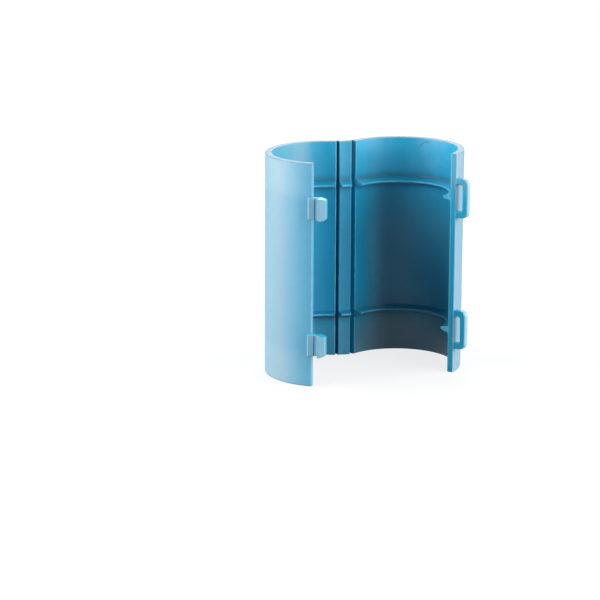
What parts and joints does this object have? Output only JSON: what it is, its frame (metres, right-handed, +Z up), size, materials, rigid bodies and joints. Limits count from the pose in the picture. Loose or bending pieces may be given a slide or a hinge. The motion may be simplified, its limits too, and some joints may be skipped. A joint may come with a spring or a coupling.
{
  "type": "conduit coupler",
  "caption": "Split snap-shut coupler for corrugated conduit: two half shells on a hinge strip, inner locking rings, hooks and loops at the free edges.",
  "frame": {"origin": "on the bore axis of the half with the loops, at the end the coupler stands on", "axes": "+Z up along that bore axis, +X from the axis towards the free edge with the loops, +Y towards the middle of that half's wall"},
  "size_m": [0.08, 0.0827, 0.096],
  "materials": {
    "blue_plastic": "satin moulded"
  },
  "bodies": {
    "loop_half": {"loop_half": "blue_plastic"},
    "hinge_strip": {"hinge_strip": "blue_plastic", "loop_side_web": "blue_plastic", "catch_side_web": "blue_plastic"},
    "catch_half": {"catch_half": "blue_plastic"}
  },
  "joints": [
    {"name": "loop_side_hinge", "type": "hinge", "parent": "loop_half", "child": "hinge_strip", "pos_m": [-0.02681, 0.00305, 0], "axis": [0, 0, 1], "range_deg": [-45, 45]},
    {"name": "catch_side_hinge", "type": "hinge", "parent": "hinge_strip", "child": "catch_half", "pos_m": [-0.03112, -0.00126, 0], "axis": [0, 0, 1], "range_deg": [-62.1, 27.9]}
  ]
}
